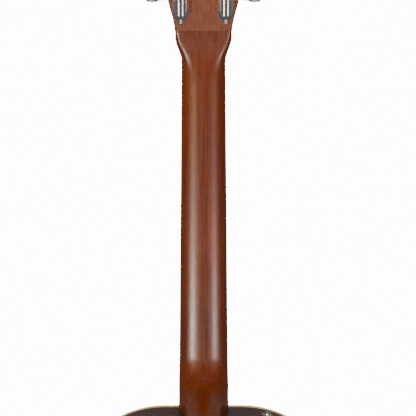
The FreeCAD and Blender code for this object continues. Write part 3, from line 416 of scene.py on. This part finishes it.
binding_cream = cast_material("cream_binding", (0.92, 0.66, 0.20), (0.80, 0.54, 0.15),
                              scale=45.0, roughness=0.28, Coat_Weight=0.5, Coat_Roughness=0.1)
dress(binding_cream, "binding_top", "binding_back")
bone = cast_material("bone", (0.86, 0.80, 0.66), (0.76, 0.68, 0.52), scale=180.0, roughness=0.3)
dress(bone, "nut", "saddle")
pearl = cast_material("pearl_dot", (0.88, 0.88, 0.84), (0.70, 0.74, 0.76), scale=260.0, roughness=0.18)
dress(pearl, "fret_markers")
black_plastic = cast_material("black_plastic", (0.030, 0.028, 0.028), (0.018, 0.017, 0.017),
                              scale=90.0, roughness=0.2)
dress(black_plastic, "bridge_pins", "truss_rod_cover")


# ---------------------------------------------------------------- soundboard and rosette
# Two bookmatched halves of quarter-sawn spruce with close growth rings, lightly aged under gloss
# varnish, and a rosette of dark and light wood rings let in round the soundhole.
def make_growth_rings():
    """Close winter lines running along +Z, mirrored about the centre joint."""
    group, given, result = new_group(
        "growth_rings", [("Vector", "Vector", None), ("Pale", "Color", (0.8, 0.6, 0.4, 1)),
                         ("Dark", "Color", (0.5, 0.3, 0.1, 1)), ("Spacing", "Float", 620.0)],
        [("Color", "Color"), ("Height", "Float")])
    links = group.links
    parts = group.nodes.new("ShaderNodeSeparateXYZ")
    links.new(given.outputs["Vector"], parts.inputs[0])
    across = add_math(group, "ABSOLUTE", parts.outputs["X"])
    wander = add_node(group, "ShaderNodeTexNoise", Scale=5.0, Detail=2.0)
    links.new(given.outputs["Vector"], wander.inputs["Vector"])
    across = add_math(group, "ADD", across, add_math(group, "MULTIPLY", wander.outputs["Fac"], 0.006))
    wave = add_math(group, "SINE", add_math(group, "MULTIPLY", across, given.outputs["Spacing"]))
    wide = add_math(group, "SINE", add_math(group, "MULTIPLY", across, 57.0))
    line = add_ramp(group, add_math(group, "MULTIPLY_ADD", wave, 0.5), [(0.45, 0.0), (1.0, 1.0)])
    depth = add_math(group, "ADD", add_math(group, "MULTIPLY", wide, 0.2), 0.55)
    line = add_math(group, "MULTIPLY", line, depth)
    silk = add_noise(group, add_stretch(group, given.outputs["Vector"], (1.0, 1.0, 0.05)), 900.0, 4.0, 0.6)
    line = add_math(group, "ADD", line, add_math(group, "MULTIPLY", silk, 0.25), clamp=True)
    links.new(add_mix(group, line, given.outputs["Pale"], given.outputs["Dark"]), result.inputs["Color"])
    links.new(add_math(group, "SUBTRACT", silk, line), result.inputs["Height"])
    return group


growth_rings = make_growth_rings()
ring_spacing = 0.0013
spruce, tree, shader, mapping = start_material("spruce_top", Coat_Weight=0.7, Coat_Roughness=0.1)
rings = place_group(tree, growth_rings, mapping.outputs[0], Pale=(0.62, 0.33, 0.11, 1),
                    Dark=(0.40, 0.18, 0.05, 1), Spacing=2 * math.pi / ring_spacing)
hands = place_group(tree, handling, mapping.outputs[0], Amount=0.15)
tree.links.new(rings.outputs["Color"], shader.inputs["Base Color"])
tree.links.new(add_math(tree, "ADD", hands.outputs["Gloss"], 0.3, clamp=True), shader.inputs["Roughness"])
add_bump(tree, shader, rings.outputs["Height"], 0.05, 0.0003)
dress(spruce, "soundboard")

rosette_low, rosette_high = (Vector(corner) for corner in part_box("rosette"))
rosette_centre = (rosette_low + rosette_high) / 2
rosette_outer = (rosette_high.x - rosette_low.x) / 2
rosette_width = 0.008
black_ring = (0.02, 0.015, 0.012)
pale_ring = (0.62, 0.47, 0.27)
red_ring = (0.34, 0.13, 0.05)
inlay, tree, shader, mapping = start_material("rosette_inlay", Roughness=0.28, Coat_Weight=0.7,
                                              Coat_Roughness=0.1)
mapping.inputs["Location"].default_value = (-rosette_centre.x, 0, -rosette_centre.z)
mapping.inputs["Scale"].default_value = (1, 0, 1)
length = tree.nodes.new("ShaderNodeVectorMath")
length.operation = "LENGTH"
tree.links.new(mapping.outputs[0], length.inputs[0])
past_inner_edge = add_math(tree, "SUBTRACT", length.outputs["Value"], rosette_outer - rosette_width)
share = add_math(tree, "DIVIDE", past_inner_edge, rosette_width)
ring_colours = add_ramp(tree, share, [
    (0.0, black_ring), (0.09, pale_ring), (0.18, black_ring), (0.27, red_ring),
    (0.73, black_ring), (0.82, pale_ring), (0.91, black_ring)])
ring_colours.node.color_ramp.interpolation = "CONSTANT"
grain = add_noise(tree, mapping.outputs[0], 700.0, 4.0)
tree.links.new(add_mix(tree, 0.3, ring_colours, grain, "MULTIPLY"), shader.inputs["Base Color"])
add_bump(tree, shader, grain, 0.04, 0.0003)
dress(inlay, "rosette")


# ---------------------------------------------------------------- metal
# Frets of drawn nickel silver, strings of plain and bronze-wound steel, and chrome-plated tuners
# and strap buttons, bright with a few fine polishing marks.
def make_polish():
    """Fine random scratches and a slight cloud, for plated and polished metal."""
    group, given, result = new_group("polish", [("Vector", "Vector", None), ("Amount", "Float", 0.05)],
                                     [("Rough", "Float"), ("Height", "Float")])
    cloud = add_noise(group, given.outputs["Vector"], 90.0, 3.0, 0.6)
    drawn = add_stretch(group, given.outputs["Vector"], (1.0, 0.08, 0.3))
    lines = add_noise(group, drawn, 2200.0, 2.0, 0.5)
    marks = add_ramp(group, lines, [(0.60, 0.0), (0.70, 1.0)])
    both = add_math(group, "ADD", add_math(group, "MULTIPLY", cloud, 0.7),
                    add_math(group, "MULTIPLY", marks, 0.5))
    group.links.new(add_math(group, "MULTIPLY", both, given.outputs["Amount"]), result.inputs["Rough"])
    group.links.new(lines, result.inputs["Height"])
    return group


polish = make_polish()


def metal_material(name, colour, roughness, marks=0.08, bump=0.02):
    material, tree, shader, mapping = start_material(name, Metallic=1.0, Base_Color=(*colour, 1))
    worn = place_group(tree, polish, mapping.outputs[0], Amount=marks)
    rough = add_math(tree, "ADD", worn.outputs["Rough"], roughness, clamp=True)
    tree.links.new(rough, shader.inputs["Roughness"])
    add_bump(tree, shader, worn.outputs["Height"], bump, 0.00005)
    return material


chrome = metal_material("chrome_plate", (0.93, 0.93, 0.94), roughness=0.085)
nickel = metal_material("nickel_silver", (0.72, 0.69, 0.62), roughness=0.20, marks=0.15)
steel = metal_material("plain_steel", (0.60, 0.60, 0.61), roughness=0.28, marks=0.15)
tuner_names = ["head_screws", "tuner_plates", "tuner_housings", "post_bushings"]
for number in range(1, 9):
    tuner_names += [f"post_{number}", f"worm_shaft_{number}", f"button_{number}"]
dress(chrome, "strap_button", "strap_screw", "end_pin", *tuner_names)
dress(nickel, "frets")
dress(steel, "strings_plain", "truss_rod")

winding_wire = 0.0004
bronze, tree, shader, mapping = start_material("bronze_wound", Metallic=1.0, Base_Color=(0.72, 0.45, 0.22, 1),
                                               Roughness=0.3)
split = tree.nodes.new("ShaderNodeSeparateXYZ")
tree.links.new(mapping.outputs[0], split.inputs[0])
turns = add_math(tree, "SINE", add_math(tree, "MULTIPLY", split.outputs["Z"], 2 * math.pi / winding_wire))
add_bump(tree, shader, turns, 0.5, 0.0001)
dress(bronze, "strings_wound")


# ---------------------------------------------------------------- string ends on the posts
# Each string passes through its post, takes three close turns round the waist and is cut short.
# The turns are steel or bronze like the string and are wound up by the post.
joints = {joint["name"]: joint for joint in frame["joints"]}
string_radius = {1: 0.00042, 2: 0.00042, 3: 0.00030, 4: 0.00030,
                 5: 0.00013, 6: 0.00013, 7: 0.00019, 8: 0.00019}
thickest_plain_radius = 0.00025
post_radius = 0.0030
bed_into_waist = 0.0004
veneer_thickness = 0.0016
first_turn_height = veneer_thickness + 0.0050     # above the post joint's own place
turn_count = 3
turn_pitch = 2.05                                  # in string radii, so that the turns nearly touch
cross_hole_height = 0.0096
string_through_post = 0.0094


def settle(piece, body, material):
    """Apply a piece's place to its mesh, smooth it, dress it and hang it on its body."""
    bpy.ops.object.select_all(action="DESELECT")
    piece.select_set(True)
    bpy.context.view_layer.objects.active = piece
    bpy.ops.object.transform_apply(location=True, rotation=True, scale=True)
    bpy.ops.object.shade_smooth_by_angle(angle=math.radians(35))
    piece.data.materials.clear()
    piece.data.materials.append(material)
    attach(piece, body)


def join(name, pieces):
    bpy.ops.object.select_all(action="DESELECT")
    for piece in pieces:
        piece.select_set(True)
    bpy.context.view_layer.objects.active = pieces[0]
    bpy.ops.object.join()
    pieces[0].name = name
    return pieces[0]


for number in range(1, 9):
    joint = joints[f"post_{number}_turn"]
    axis = Vector(joint["axis"]).normalized()
    base = Vector(joint["pos_m"])
    tilt = Vector((0, 0, 1)).rotation_difference(axis)
    radius = string_radius[number]
    rounds = []
    for turn in range(turn_count):
        centre = base + axis * (first_turn_height - turn * turn_pitch * radius)
        bpy.ops.object.select_all(action="DESELECT")
        bpy.ops.mesh.primitive_torus_add(major_radius=post_radius + radius - bed_into_waist,
                                         minor_radius=radius, major_segments=48, minor_segments=10,
                                         location=centre, rotation=tilt.to_euler())
        rounds.append(bpy.context.object)
    bpy.ops.mesh.primitive_cylinder_add(radius=radius, depth=string_through_post, vertices=12,
                                        rotation=(0, math.radians(90), 0),
                                        location=base + axis * cross_hole_height)
    rounds.append(bpy.context.object)
    winding = join(f"string_turns_{number}", rounds)
    if radius < thickest_plain_radius:
        settle(winding, f"string_post_{number}", steel)
    else:
        settle(winding, f"string_post_{number}", bronze)


# ---------------------------------------------------------------- strap washer
# A black felt disc between the strap button and the varnished side, cut with a punch and squeezed
# thinner round its edge by the button's foot.
felt, tree, shader, mapping = start_material("black_felt", Roughness=0.95, Specular_IOR_Level=0.1)
fibres = add_noise(tree, mapping.outputs[0], 1800.0, 5.0, 0.7)
felt_colour = add_mix(tree, fibres, (0.012, 0.011, 0.011, 1), (0.045, 0.042, 0.040, 1))
tree.links.new(felt_colour, shader.inputs["Base Color"])
add_bump(tree, shader, fibres, 0.6, 0.0004)

mounts = {mount["name"]: mount for mount in frame["record"]["mounts"]}
button_low, button_high = (Vector(corner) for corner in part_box("strap_button"))
button_length = 0.0130
washer_overhang = 0.0008
washer_radius = (button_high.y - button_low.y) / 2 + washer_overhang
washer_height = 0.0010
washer_edge = 0.00035
shoulder_lean = math.asin(mounts["strap_button_head"]["axis"][0])
seat_up = Vector((math.sin(shoulder_lean), 0, math.cos(shoulder_lean)))
button_middle = (button_low + button_high) / 2
washer_seat = button_middle - seat_up * (button_length / 2)
bpy.ops.object.select_all(action="DESELECT")
bpy.ops.mesh.primitive_cylinder_add(radius=washer_radius, depth=washer_height, vertices=64,
                                    rotation=(0, shoulder_lean, 0),
                                    location=washer_seat + seat_up * washer_height / 2)
washer = bpy.context.object
washer.name = "strap_washer"
bpy.ops.object.mode_set(mode="EDIT")
bpy.ops.mesh.select_mode(type="FACE")
bpy.ops.mesh.select_all(action="SELECT")
bpy.ops.mesh.bevel(offset=washer_edge, segments=3, affect="EDGES")
bpy.ops.object.mode_set(mode="OBJECT")
settle(washer, "body_and_neck", felt)
